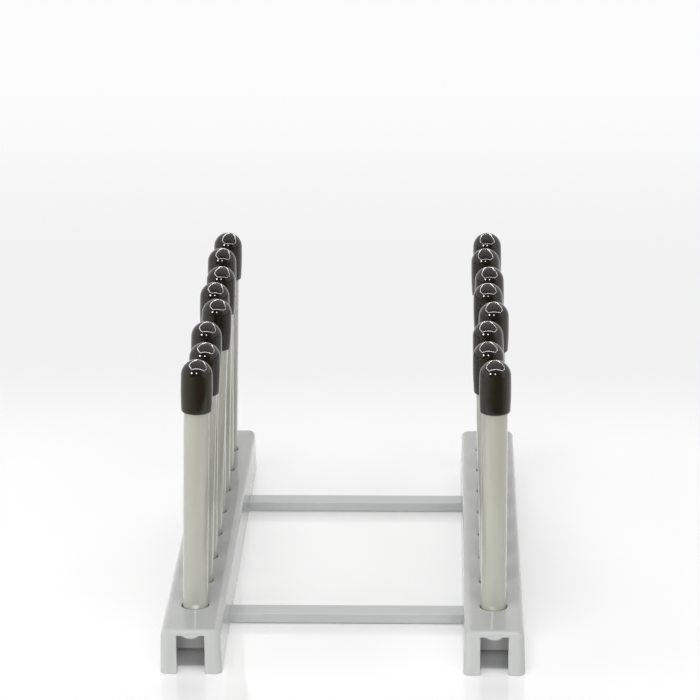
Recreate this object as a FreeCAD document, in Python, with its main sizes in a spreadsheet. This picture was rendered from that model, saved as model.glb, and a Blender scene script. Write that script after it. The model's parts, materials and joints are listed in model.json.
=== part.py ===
import FreeCAD, Part
import math
import os

import Sketcher

# Record display stand.
# Two moulded rails lie side by side and carry a row of upright rods each. The gaps from one pair of rods
# to the next are the slots, whose floor is the inner top edges of both rails. Two flat crossbars hold the
# rails apart, and a dipped vinyl cap covers the top of every rod.
# Frame: +Z is up, +Y points to the back, +X to the right. The origin is in the middle of the stand, on
# the surface that it stands on. Sizes are in millimetres and degrees.

SIZES = {
    "rail_length": (200.0, "rail, front to back"),
    "rail_width": (20.0, "rail, across its foot"),
    "rail_height": (15.0, "rail, floor to top"),
    "rail_centres": (98.0, "between the middles of the two rails"),
    "draft": (1.5, "lean of every outer and inner wall of the rail"),
    "corner_radius": (2.3, "upright corners of the rail"),
    "top_radius": (2.2, "edges round the top of the rail"),
    "foot_radius": (0.3, "edges round the foot of the rail"),
    "side_wall": (2.2, "rail's side walls"),
    "end_wall": (2.2, "rail's end walls"),
    "skin": (2.0, "rail's top"),
    "rib_thick": (7.0, "cross rib under each rod"),
    "rib_foot": (0.85, "clear height under a cross rib"),
    "window_width": (9.0, "slot in each end wall"),
    "window_radius": (0.4, "edge round that slot"),
    "tab_width": (4.8, "half-round tab that hangs under the lip"),
    "tab_drop": (0.75, "how far the tab hangs down"),
    "tab_thick": (1.6, "tab, front to back"),
    "rod_diameter": (8.3, "upright rod"),
    "rod_spacing": (22.0, "from one rod to the next"),
    "stand_height": (98.9, "floor to the top of an upright cap"),
    "socket_diameter": (8.9, "hole that a rod drops into, loose"),
    "socket_depth": (7.0, "rail's top to the floor of the hole"),
    "socket_rim": (0.35, "bevel round the mouth of the hole"),
    "boss_diameter": (12.4, "wall round the hole, inside the rail"),
    "boss_floor": (2.0, "under the hole"),
    "cap_diameter": (10.2, "cap, outside"),
    "cap_length": (17.3, "cap, foot to top"),
    "cap_crown": (3.3, "cap, above the rod's end"),
    "cap_lip": (0.4, "bevel of the cap's foot"),
    "bar_width": (7.8, "crossbar, front to back"),
    "bar_thick": (3.4, "crossbar, upright"),
    "bar_gap": (0.45, "crossbar's underside above the floor"),
    "bar_inset": (1.5, "crossbar's middle, inward of the second rod's"),
    "bar_reach": (6.4, "crossbar's end beyond the middle of the rail"),
    "bar_round": (0.4, "long edges of the crossbar"),
    "bar_play": (0.1, "crossbar in its notch, all round"),
    "screw_shank": (2.9, "crossbar screw"),
    "screw_head": (5.4, "its countersunk head"),
    "screw_length": (6.4, "head to tip"),
}

ROD_COUNT = 8

# The rods stand loose in their holes. Each leans to the right and to the back by these degrees.
LEFT_LEANS = (
    (1.4, 0.9), (2.3, -1.8), (1.5, -0.9), (2.7, 1.9),
    (1.2, 0.6), (1.8, -0.8), (0.9, 0.5), (1.5, -0.5),
)
RIGHT_LEANS = (
    (0.0, 1.0), (-1.4, -0.6), (-1.3, 0.0), (0.3, 0.3),
    (-0.9, 0.5), (-0.4, -0.6), (-1.2, 0.4), (-0.6, -0.3),
)

# Room that a test on an edge's place leaves for rounding, in millimetres.
CLOSE = 0.01

doc = FreeCAD.newDocument("RecordStand")
sheet = doc.addObject("Spreadsheet::Sheet", "Sizes")
for row, (alias, (amount, note)) in enumerate(SIZES.items(), start=1):
    sheet.set("A%d" % row, alias)
    sheet.set("B%d" % row, str(amount))
    sheet.set("C%d" % row, note)
    sheet.setAlias("B%d" % row, alias)
doc.recompute()


def size(formula):
    """Value of a formula on the sheet's names, in millimetres or degrees."""
    result = sheet.evalExpression(formula)
    return float(getattr(result, "Value", result))


def bind(target, path, formula):
    """Tie one property of a feature to a formula on the sheet's names."""
    words = formula
    for alias in sorted(SIZES, key=len, reverse=True):
        words = words.replace(alias, "<%d>" % list(SIZES).index(alias))
    for index, alias in enumerate(SIZES):
        words = words.replace("<%d>" % index, "Sizes." + alias)
    target.setExpression(path, words)


def new_body(name):
    body = doc.addObject("PartDesign::Body", name)
    body.Label = name
    return body


def new_sketch(body, name, role, rise=None):
    """Sketch on one of the body's own planes, moved along the plane's normal by a formula."""
    sketch = body.newObject("Sketcher::SketchObject", name)
    base = [feature for feature in body.Origin.OriginFeatures if feature.Role == role][0]
    sketch.AttachmentSupport = [(base, "")]
    sketch.MapMode = "FlatFace"
    if rise:
        bind(sketch, "AttachmentOffset.Base.z", rise)
    return sketch


def fix(sketch, kind, places, label, formula):
    """Add a named dimension to a sketch and tie it to a formula."""
    index = sketch.addConstraint(Sketcher.Constraint(kind, *places, size(formula)))
    sketch.renameConstraint(index, label)
    bind(sketch, "Constraints." + label, formula)


def closed_profile(sketch, corners):
    """Join corners by straight lines into one closed loop and return the number of its first line."""
    first = sketch.GeometryCount
    points = [FreeCAD.Vector(x, y, 0) for x, y in corners]
    total = len(points)
    for index in range(total):
        sketch.addGeometry(Part.LineSegment(points[index], points[(index + 1) % total]), False)
    for index in range(total):
        following = first + (index + 1) % total
        sketch.addConstraint(Sketcher.Constraint("Coincident", first + index, 2, following, 1))
    return first


def rectangle(sketch, label, left, right, low, high):
    """Rectangle with its sides these distances left, right, below and above the origin, or negative."""
    x_low, x_high = -size(left), size(right)
    y_low, y_high = -size(low), size(high)
    first = closed_profile(sketch, [(x_low, y_low), (x_high, y_low), (x_high, y_high), (x_low, y_high)])
    for offset, kind in enumerate(("Horizontal", "Vertical", "Horizontal", "Vertical")):
        sketch.addConstraint(Sketcher.Constraint(kind, first + offset))
    edges = (
        ("DistanceX", first, 1, x_low, left, "left"),
        ("DistanceX", first, 2, x_high, right, "right"),
        ("DistanceY", first, 1, y_low, low, "low"),
        ("DistanceY", first + 2, 1, y_high, high, "high"),
    )
    for kind, line, end, place, formula, side in edges:
        outward = side in ("right", "high")
        if (place >= 0) == outward:
            span = formula
        else:
            span = "-(%s)" % formula
        if place >= 0:
            fix(sketch, kind, (-1, 1, line, end), label + "_" + side, span)
        else:
            fix(sketch, kind, (line, end, -1, 1), label + "_" + side, span)


def circle(sketch, label, diameter, x_place=None, y_place=None):
    """Circle at formulas for its place, right of and above the sketch's origin, or below where negative."""
    centre = FreeCAD.Vector(size(x_place) if x_place else 0, size(y_place) if y_place else 0, 0)
    number = sketch.addGeometry(Part.Circle(centre, FreeCAD.Vector(0, 0, 1), size(diameter) / 2), False)
    fix(sketch, "Diameter", (number,), label + "_diameter", diameter)
    places = (("DistanceX", centre.x, x_place, "_x", -2), ("DistanceY", centre.y, y_place, "_y", -1))
    for kind, place, formula, ending, axis in places:
        if formula is None:
            sketch.addConstraint(Sketcher.Constraint("PointOnObject", number, 3, axis))
        elif place > 0:
            fix(sketch, kind, (-1, 1, number, 3), label + ending, formula)
        else:
            fix(sketch, kind, (number, 3, -1, 1), label + ending, "-(%s)" % formula)


def pad(body, sketch, name, length, reverse=False, taper=None):
    feature = body.newObject("PartDesign::Pad", name)
    feature.Profile = sketch
    feature.Reversed = reverse
    bind(feature, "Length", length)
    if taper:
        bind(feature, "TaperAngle", taper)
    sketch.Visibility = False
    body.Tip = feature
    doc.recompute()
    return feature


def pocket(body, sketch, name, length, reverse=False, taper=None):
    """Cut, and stop where nothing was cut."""
    before = body.Shape.Volume
    feature = body.newObject("PartDesign::Pocket", name)
    feature.Profile = sketch
    feature.Reversed = reverse
    bind(feature, "Length", length)
    if taper:
        bind(feature, "TaperAngle", taper)
    body.Tip = feature
    doc.recompute()
    if not body.Shape.Volume < before - 1e-3:
        raise RuntimeError("%s cut nothing from %s" % (name, body.Label))
    return feature


def row_pattern(body, feature, name, first_to_last, count):
    """Repeat a feature towards the back, along the body's Y axis."""
    axis = [item for item in body.Origin.OriginFeatures if item.Role == "Y_Axis"][0]
    pattern = body.newObject("PartDesign::LinearPattern", name)
    pattern.Originals = [feature]
    pattern.Direction = (axis, [""])
    bind(pattern, "Length", first_to_last)
    pattern.Occurrences = count
    body.Tip = pattern
    doc.recompute()
    return pattern


def mirror_to_back(body, features, name):
    """Repeat features at the other end of the rail."""
    middle = [item for item in body.Origin.OriginFeatures if item.Role == "XZ_Plane"][0]
    mirrored = body.newObject("PartDesign::Mirrored", name)
    mirrored.Originals = features
    mirrored.MirrorPlane = (middle, [""])
    body.Tip = mirrored
    doc.recompute()
    return mirrored


def edges_where(body, test):
    """Names of the edges of the body's tip that pass a test on the edge."""
    shape = body.Tip.Shape
    return ["Edge%d" % (index + 1) for index, edge in enumerate(shape.Edges) if test(edge)]


def round_edges(body, name, names, radius):
    base = body.Tip
    feature = body.newObject("PartDesign::Fillet", name)
    feature.Base = (base, names)
    bind(feature, "Radius", radius)
    body.Tip = feature
    doc.recompute()
    if "Invalid" in feature.State:
        raise RuntimeError("%s failed on %s, edges %s" % (name, body.Label, names))
    return feature


ROW = "(%d * rod_spacing)" % (ROD_COUNT - 1)
FIRST_ROD = "(%s / 2)" % ROW
BAR_PLACE = "(%s - rod_spacing - bar_inset)" % FIRST_ROD
CEILING = "(rail_height - skin)"
SOCKET_FLOOR = "(rail_height - socket_depth)"
NOTCH_TOP = "(bar_gap + bar_thick + bar_play)"


def rail_shell(body):
    """Drafted outer form with its rounded edges, hollowed from below."""
    outline = new_sketch(body, "outline", "XY_Plane")
    rectangle(outline, "outline", "rail_width / 2", "rail_width / 2", "rail_length / 2", "rail_length / 2")
    pad(body, outline, "block", "rail_height", taper="-draft")
    height = size("rail_height")

    def corner(edge):
        return edge.BoundBox.ZLength > height - CLOSE

    def top(edge):
        return edge.BoundBox.ZMin > height - CLOSE

    def foot(edge):
        return edge.BoundBox.ZMax < CLOSE

    round_edges(body, "corner_rounds", edges_where(body, corner), "corner_radius")
    round_edges(body, "top_rounds", edges_where(body, top), "top_radius")
    round_edges(body, "foot_rounds", edges_where(body, foot), "foot_radius")
    hollow = new_sketch(body, "hollow_outline", "XY_Plane")
    half_width = "(rail_width / 2 - side_wall)"
    half_length = "(rail_length / 2 - end_wall)"
    rectangle(hollow, "hollow", half_width, half_width, half_length, half_length)
    pocket(body, hollow, "hollow", CEILING, reverse=True, taper="-draft")


def rail_ribs(body):
    """Inside the rail: a round boss at each rod, tied to the side walls by a cross rib below it."""
    reach = "((rail_width - side_wall) / 2)"
    rib_outline = new_sketch(body, "rib_outline", "XY_Plane", "rib_foot")
    front, back = FIRST_ROD + " + rib_thick / 2", "rib_thick / 2 - " + FIRST_ROD
    rectangle(rib_outline, "rib", reach, reach, front, back)
    rib = pad(body, rib_outline, "rib", "rail_height - skin / 2 - rib_foot")
    row_pattern(body, rib, "ribs", ROW, ROD_COUNT)
    boss_outline = new_sketch(body, "boss_outline", "XY_Plane", SOCKET_FLOOR + " - boss_floor")
    circle(boss_outline, "boss", "boss_diameter", y_place="-" + FIRST_ROD)
    boss = pad(body, boss_outline, "boss", "socket_depth + boss_floor - skin / 2")
    row_pattern(body, boss, "bosses", ROW, ROD_COUNT)
    half_bar = "(bar_width / 2 + bar_play)"
    seat_outline = new_sketch(body, "seat_outline", "XY_Plane", NOTCH_TOP)
    front, back = BAR_PLACE + " + " + half_bar, half_bar + " - " + BAR_PLACE
    rectangle(seat_outline, "seat", reach, reach, front, back)
    seat = pad(body, seat_outline, "seat", CEILING + " - " + NOTCH_TOP + " + skin / 2")
    mirror_to_back(body, [seat], "seats")
    notch_outline = new_sketch(body, "notch_outline", "XY_Plane")
    rectangle(notch_outline, "notch", "bar_reach + bar_play", "rail_width", front, back)
    notch = pocket(body, notch_outline, "notch", NOTCH_TOP, reverse=True)
    mirror_to_back(body, [notch], "notches")


def rail_sockets(body):
    """The row of holes with bevelled mouths, and the pilot holes for the crossbar screws."""
    section = new_sketch(body, "socket_section", "XZ_Plane", FIRST_ROD)
    radius = size("socket_diameter / 2")
    floor, mouth, above = size(SOCKET_FLOOR), size("rail_height - socket_rim"), size("rail_height + skin")
    flare = above - mouth
    corners = [(0, floor), (radius, floor), (radius, mouth), (radius + flare, above), (0, above)]
    first = closed_profile(section, corners)
    section.addConstraint(Sketcher.Constraint("PointOnObject", first, 1, -2))
    section.addConstraint(Sketcher.Constraint("Horizontal", first))
    section.addConstraint(Sketcher.Constraint("Vertical", first + 1))
    section.addConstraint(Sketcher.Constraint("Horizontal", first + 3))
    section.addConstraint(Sketcher.Constraint("Vertical", first + 4))
    fix(section, "DistanceX", (-1, 1, first + 1, 1), "socket_radius", "socket_diameter / 2")
    fix(section, "DistanceY", (-1, 1, first, 1), "socket_floor", SOCKET_FLOOR)
    fix(section, "DistanceY", (-1, 1, first + 1, 2), "rim_start", "rail_height - socket_rim")
    fix(section, "DistanceY", (first + 2, 1, first + 2, 2), "rim_rise", "skin + socket_rim")
    fix(section, "DistanceX", (first + 2, 1, first + 2, 2), "rim_run", "skin + socket_rim")
    before = body.Shape.Volume
    socket = body.newObject("PartDesign::Groove", "socket")
    socket.Profile = section
    socket.ReferenceAxis = (section, ["V_Axis"])
    socket.Angle = 360
    body.Tip = socket
    doc.recompute()
    row_pattern(body, socket, "sockets", ROW, ROD_COUNT)
    if not body.Shape.Volume < before - ROD_COUNT:
        raise RuntimeError("the sockets cut nothing")
    pilot_outline = new_sketch(body, "pilot_outline", "XY_Plane")
    circle(pilot_outline, "front", "screw_shank", y_place="-" + BAR_PLACE)
    circle(pilot_outline, "back", "screw_shank", y_place=BAR_PLACE)
    pocket(body, pilot_outline, "pilots", "bar_gap + screw_length", reverse=True)


def rail_ends(body):
    """Slot in each end wall, open to the floor, with a small half-round tab under its lip."""
    window_outline = new_sketch(body, "window_outline", "XZ_Plane", "rail_length / 2")
    half = "window_width / 2"
    rectangle(window_outline, "window", half, half, "skin", CEILING)
    window = pocket(body, window_outline, "window", "end_wall + skin / 2")
    mirror_to_back(body, [window], "windows")
    past_wall, half_window, lip = size("rail_length / 2 - end_wall / 2"), size(half), size(CEILING)

    def window_edge(edge):
        box = edge.BoundBox
        outside = min(abs(box.YMin), abs(box.YMax)) > past_wall
        within = max(abs(box.XMin), abs(box.XMax)) < half_window + CLOSE and box.ZMax < lip + CLOSE
        return outside and within and edge.Length > half_window

    round_edges(body, "window_rounds", edges_where(body, window_edge), "window_radius")
    tab_outline = new_sketch(body, "tab_outline", "XZ_Plane", "rail_length / 2 - side_wall / 2 + tab_thick / 2")
    ceiling, drop, half_tab = size(CEILING), size("tab_drop"), size("tab_width / 2")
    root = ceiling + size("skin / 4")
    left, right = FreeCAD.Vector(-half_tab, ceiling, 0), FreeCAD.Vector(half_tab, ceiling, 0)
    tip = FreeCAD.Vector(0, ceiling - drop, 0)
    left_root, right_root = FreeCAD.Vector(-half_tab, root, 0), FreeCAD.Vector(half_tab, root, 0)
    arc = tab_outline.addGeometry(Part.Arc(left, tip, right), False)
    sides = [(right, right_root), (right_root, left_root), (left_root, left)]
    lines = [tab_outline.addGeometry(Part.LineSegment(*ends), False) for ends in sides]
    tab_outline.addConstraint(Sketcher.Constraint("Coincident", arc, 2, lines[0], 1))
    tab_outline.addConstraint(Sketcher.Constraint("Coincident", lines[0], 2, lines[1], 1))
    tab_outline.addConstraint(Sketcher.Constraint("Coincident", lines[1], 2, lines[2], 1))
    tab_outline.addConstraint(Sketcher.Constraint("Coincident", lines[2], 2, arc, 1))
    tab_outline.addConstraint(Sketcher.Constraint("Vertical", lines[0]))
    tab_outline.addConstraint(Sketcher.Constraint("Horizontal", lines[1]))
    tab_outline.addConstraint(Sketcher.Constraint("Vertical", lines[2]))
    tab_outline.addConstraint(Sketcher.Constraint("PointOnObject", arc, 3, -2))
    fix(tab_outline, "DistanceX", (arc, 1, arc, 2), "tab_width", "tab_width")
    fix(tab_outline, "DistanceY", (-1, 1, arc, 1), "tab_top", CEILING)
    fix(tab_outline, "DistanceY", (-1, 1, lines[1], 1), "tab_root", CEILING + " + skin / 4")
    fix(tab_outline, "Radius", (arc,), "tab_radius", "(tab_width ^ 2 / 4 + tab_drop ^ 2) / (2 * tab_drop)")
    tab = pad(body, tab_outline, "tab", "tab_thick", reverse=True)
    mirror_to_back(body, [tab], "tabs")


def make_rail(name, side):
    """One rail. Both are the same moulding, and the right one is turned half round."""
    body = new_body(name)
    rail_shell(body)
    rail_ribs(body)
    rail_sockets(body)
    rail_ends(body)
    turn = 0 if side < 0 else 180
    body.Placement = FreeCAD.Placement(FreeCAD.Vector(), FreeCAD.Rotation(FreeCAD.Vector(0, 0, 1), turn))
    bind(body, "Placement.Base.x", "%d * rail_centres / 2" % side)
    return body


def stand_in_socket(body, side, index, lean):
    """Put a piece whose own origin is half-way down the socket on the rod's axis where the rod stands.

    A leaning rod rests on the lower rim of its end, so it stands a little higher.
    """
    to_right, to_back = (math.radians(angle) for angle in lean)
    along = FreeCAD.Vector(math.tan(to_right), math.tan(to_back), 1)
    rotation = FreeCAD.Rotation(FreeCAD.Vector(0, 0, 1), along)
    angle = rotation.Angle
    half_depth = size("socket_depth / 2")
    end_radius = size("rod_diameter / 2")
    lift = half_depth * math.cos(angle) + end_radius * math.sin(angle) - half_depth
    body.Placement = FreeCAD.Placement(FreeCAD.Vector(), rotation)
    bind(body, "Placement.Base.x", "%d * rail_centres / 2" % side)
    bind(body, "Placement.Base.y", "(%d - (%d) / 2) * rod_spacing" % (index, ROD_COUNT - 1))
    bind(body, "Placement.Base.z", "rail_height - socket_depth / 2 + %.4f" % lift)


ROD_FOOT = "(socket_depth / 2)"
CAP_TOP = "(stand_height - rail_height + socket_depth / 2)"


def make_rod(name):
    """Plain round rod, cut square at both ends."""
    body = new_body(name)
    outline = new_sketch(body, "section", "XY_Plane", "-" + ROD_FOOT)
    circle(outline, "rod", "rod_diameter")
    pad(body, outline, "rod", CAP_TOP + " - cap_crown + " + ROD_FOOT)
    return body


def make_cap(name):
    """Dipped vinyl cap: a thin wall, a thick round top and a bevelled foot, turned about the rod's axis."""
    body = new_body(name)
    section = new_sketch(body, "section", "XZ_Plane")
    outer, inner, lip = size("cap_diameter / 2"), size("rod_diameter / 2"), size("cap_lip")
    top, foot, end = size(CAP_TOP), size(CAP_TOP + " - cap_length"), size(CAP_TOP + " - cap_crown")
    centre = top - outer
    inside = [(0, end), (inner, end), (inner, foot)]
    outside = [(outer - lip, foot), (outer, foot + lip), (outer, centre)]
    points = [FreeCAD.Vector(x, z, 0) for x, z in inside + outside]
    section.addGeometry([Part.LineSegment(*pair) for pair in zip(points, points[1:])], False)
    ceiling, bore, rim, bevel, wall = range(5)
    diagonal = outer * math.sqrt(0.5)
    shoulder, peak = FreeCAD.Vector(diagonal, centre + diagonal, 0), FreeCAD.Vector(0, top, 0)
    dome = section.addGeometry(Part.Arc(points[-1], shoulder, peak), False)
    core = section.addGeometry(Part.LineSegment(peak, points[0]), False)
    loop = ((ceiling, bore), (bore, rim), (rim, bevel), (bevel, wall), (dome, core), (core, ceiling))
    for here, there in loop:
        section.addConstraint(Sketcher.Constraint("Coincident", here, 2, there, 1))
    section.addConstraint(Sketcher.Constraint("Tangent", wall, 2, dome, 1))
    section.addConstraint(Sketcher.Constraint("Horizontal", ceiling))
    section.addConstraint(Sketcher.Constraint("Horizontal", rim))
    section.addConstraint(Sketcher.Constraint("Vertical", bore))
    section.addConstraint(Sketcher.Constraint("Vertical", wall))
    for line, end_number in ((ceiling, 1), (dome, 2), (dome, 3)):
        section.addConstraint(Sketcher.Constraint("PointOnObject", line, end_number, -2))
    fix(section, "DistanceX", (-1, 1, bore, 1), "bore_radius", "rod_diameter / 2")
    fix(section, "DistanceX", (-1, 1, wall, 1), "outer_radius", "cap_diameter / 2")
    fix(section, "DistanceX", (bevel, 1, bevel, 2), "bevel_run", "cap_lip")
    fix(section, "DistanceY", (bevel, 1, bevel, 2), "bevel_rise", "cap_lip")
    fix(section, "DistanceY", (-1, 1, dome, 2), "top", CAP_TOP)
    fix(section, "DistanceY", (-1, 1, ceiling, 1), "rod_end", CAP_TOP + " - cap_crown")
    fix(section, "DistanceY", (-1, 1, bore, 2), "foot", CAP_TOP + " - cap_length")
    turned = body.newObject("PartDesign::Revolution", "turned")
    turned.Profile = section
    turned.ReferenceAxis = (section, ["V_Axis"])
    turned.Angle = 360
    body.Tip = turned
    doc.recompute()
    return body


def make_crossbar(name, toward):
    """Flat bar let into the undersides of both rails, with a countersunk hole at each end."""
    body = new_body(name)
    outline = new_sketch(body, "outline", "XY_Plane")
    half = "(rail_centres / 2 + bar_reach)"
    rectangle(outline, "bar", half, half, "bar_width / 2", "bar_width / 2")
    pad(body, outline, "bar", "bar_thick")
    long_edges = edges_where(body, lambda edge: edge.BoundBox.XLength > size("rail_centres"))
    round_edges(body, "edge_rounds", long_edges, "bar_round")
    screw_places = new_sketch(body, "screw_places", "XY_Plane")
    circle(screw_places, "left", "screw_shank", x_place="-(rail_centres / 2)")
    circle(screw_places, "right", "screw_shank", x_place="rail_centres / 2")
    before = body.Shape.Volume
    doc.recompute()
    holes = body.newObject("PartDesign::Hole", "screw_holes")
    holes.Profile = screw_places
    doc.recompute()
    holes.ThreadType = "None"
    holes.DepthType = "ThroughAll"
    holes.Reversed = True
    holes.HoleCutType = "Countersink"
    holes.HoleCutCustomValues = True
    holes.HoleCutCountersinkAngle = 90
    bind(holes, "Diameter", "screw_shank")
    bind(holes, "HoleCutDiameter", "screw_head")
    body.Tip = holes
    doc.recompute()
    if not body.Shape.Volume < before - 1:
        raise RuntimeError("the screw holes cut nothing")
    bind(body, "Placement.Base.y", "%d * %s" % (toward, BAR_PLACE))
    bind(body, "Placement.Base.z", "bar_gap")
    return body


def make_screw(name, side, toward):
    """Countersunk screw, standing head down."""
    body = new_body(name)
    section = new_sketch(body, "section", "XZ_Plane")
    head, shank = size("screw_head / 2"), size("screw_shank / 2")
    length, cone = size("screw_length"), size("(screw_head - screw_shank) / 2")
    corners = [(0, 0), (head, 0), (shank, cone), (shank, length - shank), (0, length)]
    first = closed_profile(section, corners)
    section.addConstraint(Sketcher.Constraint("Coincident", first, 1, -1, 1))
    section.addConstraint(Sketcher.Constraint("Horizontal", first))
    section.addConstraint(Sketcher.Constraint("Vertical", first + 2))
    section.addConstraint(Sketcher.Constraint("Vertical", first + 4))
    fix(section, "DistanceX", (-1, 1, first, 2), "head_radius", "screw_head / 2")
    fix(section, "DistanceX", (-1, 1, first + 2, 1), "shank_radius", "screw_shank / 2")
    fix(section, "DistanceY", (-1, 1, first + 2, 1), "head_depth", "(screw_head - screw_shank) / 2")
    fix(section, "DistanceY", (-1, 1, first + 2, 2), "point_start", "screw_length - screw_shank / 2")
    fix(section, "DistanceY", (-1, 1, first + 3, 2), "tip", "screw_length")
    turned = body.newObject("PartDesign::Revolution", "turned")
    turned.Profile = section
    turned.ReferenceAxis = (section, ["V_Axis"])
    turned.Angle = 360
    body.Tip = turned
    doc.recompute()
    bind(body, "Placement.Base.x", "%d * rail_centres / 2" % side)
    bind(body, "Placement.Base.y", "%d * %s" % (toward, BAR_PLACE))
    bind(body, "Placement.Base.z", "bar_gap")
    return body


nodes = [make_rail("left_rail", -1), make_rail("right_rail", 1)]
nodes += [make_crossbar("front_crossbar", -1), make_crossbar("rear_crossbar", 1)]
for side_name, side_sign, leans in (("left", -1, LEFT_LEANS), ("right", 1, RIGHT_LEANS)):
    for rod_index in range(ROD_COUNT):
        rod = make_rod("%s_rod_%d" % (side_name, rod_index + 1))
        cap = make_cap("%s_cap_%d" % (side_name, rod_index + 1))
        stand_in_socket(rod, side_sign, rod_index, leans[rod_index])
        stand_in_socket(cap, side_sign, rod_index, leans[rod_index])
        nodes += [rod, cap]

screws = doc.addObject("Part::Compound", "crossbar_screws")
screws.Label = "crossbar_screws"
corner_names = (("left_front", -1, -1), ("right_front", 1, -1), ("left_back", -1, 1), ("right_back", 1, 1))
screws.Links = [make_screw("%s_screw" % name, side, toward) for name, side, toward in corner_names]
nodes.append(screws)
doc.recompute()

for item in doc.Objects:
    if "Invalid" in item.State or "Error" in item.State:
        raise RuntimeError("%s failed: %s" % (item.Name, item.State))
for node in nodes:
    if node.Shape.isNull() or not node.Shape.isValid():
        raise RuntimeError("%s has no valid shape" % node.Label)

os.makedirs("parts", exist_ok=True)
for node in nodes:
    node.Shape.exportStep("parts/%s.step" % node.Label)
    box = node.Shape.BoundBox
    extents = (box.XMin, box.XMax, box.YMin, box.YMax, box.ZMin, box.ZMax)
    print(node.Label, len(node.Shape.Solids), "solid(s),", round(node.Shape.Volume, 1), "mm3", extents)
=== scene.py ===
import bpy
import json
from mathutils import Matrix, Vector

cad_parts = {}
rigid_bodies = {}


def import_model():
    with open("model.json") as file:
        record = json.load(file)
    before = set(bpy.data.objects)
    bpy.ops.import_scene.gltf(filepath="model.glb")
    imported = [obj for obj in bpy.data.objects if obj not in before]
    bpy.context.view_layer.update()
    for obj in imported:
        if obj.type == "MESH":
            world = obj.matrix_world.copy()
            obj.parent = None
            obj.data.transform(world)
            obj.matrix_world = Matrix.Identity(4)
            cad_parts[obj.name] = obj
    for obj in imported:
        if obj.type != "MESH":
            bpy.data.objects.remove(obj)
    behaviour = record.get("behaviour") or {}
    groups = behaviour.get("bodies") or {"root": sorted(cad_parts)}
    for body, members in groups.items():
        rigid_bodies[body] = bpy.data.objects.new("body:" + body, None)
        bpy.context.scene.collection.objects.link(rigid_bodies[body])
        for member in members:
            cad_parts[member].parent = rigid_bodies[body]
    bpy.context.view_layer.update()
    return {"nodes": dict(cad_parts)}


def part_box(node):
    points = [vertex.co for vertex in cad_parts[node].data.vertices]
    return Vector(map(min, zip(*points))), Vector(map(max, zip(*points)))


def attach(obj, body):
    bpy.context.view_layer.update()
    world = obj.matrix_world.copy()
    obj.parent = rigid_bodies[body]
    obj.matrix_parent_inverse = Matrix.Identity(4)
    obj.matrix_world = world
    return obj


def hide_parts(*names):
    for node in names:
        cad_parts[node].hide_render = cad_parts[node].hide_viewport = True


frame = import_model()

import json
import math

import bmesh
import bpy
from bpy.props import FloatProperty, FloatVectorProperty, IntProperty, PointerProperty
from mathutils import Matrix, Vector

bl_info = {
    "name": "Record display stand",
    "version": (1, 0, 0),
    "blender": (4, 5, 0),
    "location": "View3D > Sidebar > Stand",
    "description": "Finishes the moulded rails, rods, vinyl caps and crossbars of a record stand",
    "category": "Object",
}

MM = 0.001
ROOT = "root"
NODES = frame["nodes"]
RAILS = sorted(name for name in NODES if name.endswith("_rail"))
RODS = sorted(name for name in NODES if "_rod_" in name)
CAPS = sorted(name for name in NODES if "_cap_" in name)
BARS = sorted(name for name in NODES if name.endswith("_crossbar"))
SCREWS = "crossbar_screws"
STAND_MIDDLE = Vector((0, 0, 0.04))
UPWARD = Vector((0, 0, 1))
SHARP_ANGLE = math.radians(40)

# Sizes taken over from the solids
RAIL_PLACE = 49.0 * MM
ROD_RADIUS = 4.15 * MM
CAP_RADIUS, CAP_LENGTH = 5.1 * MM, 17.3 * MM
BORE_DEPTH, BORE_EDGE = 14.0 * MM, 0.12 * MM
HEAD_RADIUS, SHANK_RADIUS, CORE_RADIUS = 2.7 * MM, 1.45 * MM, 1.1 * MM
HEAD_EDGE = 0.15 * MM

# Steps and turns of the caps and the screws
CAP_TURN = math.radians(137.5)
LIP_STEPS, WALL_STEPS, DOME_STEPS = 5, 9, 14
SCREW_SIDES = 40
SCREW_THREADS, THREAD_STEP = 5, 0.74 * MM
THREAD_FLANK, THREAD_CREST = 0.4, 0.2
SCREW_TURN = 17.0
RECESS_TAPER = 0.4
MERGE_REACH = 1e-7

# Moulded surface: noise scales, and how far they reach into roughness and height
CLOUD_SCALE, GRAIN_SCALE, SINK_SCALE = 55.0, 2600.0, 130.0
ROUGHNESS_SWING = 0.1
SINK_WEIGHT = 3.0

# Height of the bumps
RAIL_BUMP, BAR_BUMP, ROD_BUMP, CAP_BUMP, SCREW_BUMP = 0.00003, 0.00002, 0.00001, 0.00002, 0.00002

# Tones of the patterns in the plastics, of the crossbars' painted shading, and of the painted highlights
FLOW_TINT, TOP_LIGHT_TINT, BAND_TINT = 0.07, 0.16, 0.16
TOP_FACE_FADE = (-0.45 * MM, -0.1 * MM)
HIGHLIGHT_PAINT = (0.86, 0.88, 0.86, 1)

# Painted reflection line at the rails' ends: a pale streak, with a slight bump ridge, that stands in for the
# reflection of each front rod's highlight in the glossy top; how far it slants inwards on the left and right,
# and its fades
REFLECTION_PALENESS, LINE_RIDGE = 0.6, 1.5
LINE_SLANTS = (0.07, 0.03)
LINE_BEGIN_FADE, LINE_END_FADE = 0.5 * MM, 2 * MM
LINE_HEIGHT_FADE = (9.5 * MM, 11.0 * MM)

# Painted glint at the front rods' feet, a pale spot standing in for a highlight on the socket rim: how much
# wider than high, and its strength on the left and right
GLINT_SQUEEZE = (0.62, 1.0, 1.0)
GLINT_STRENGTHS = (0.85, 0.35)

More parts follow.
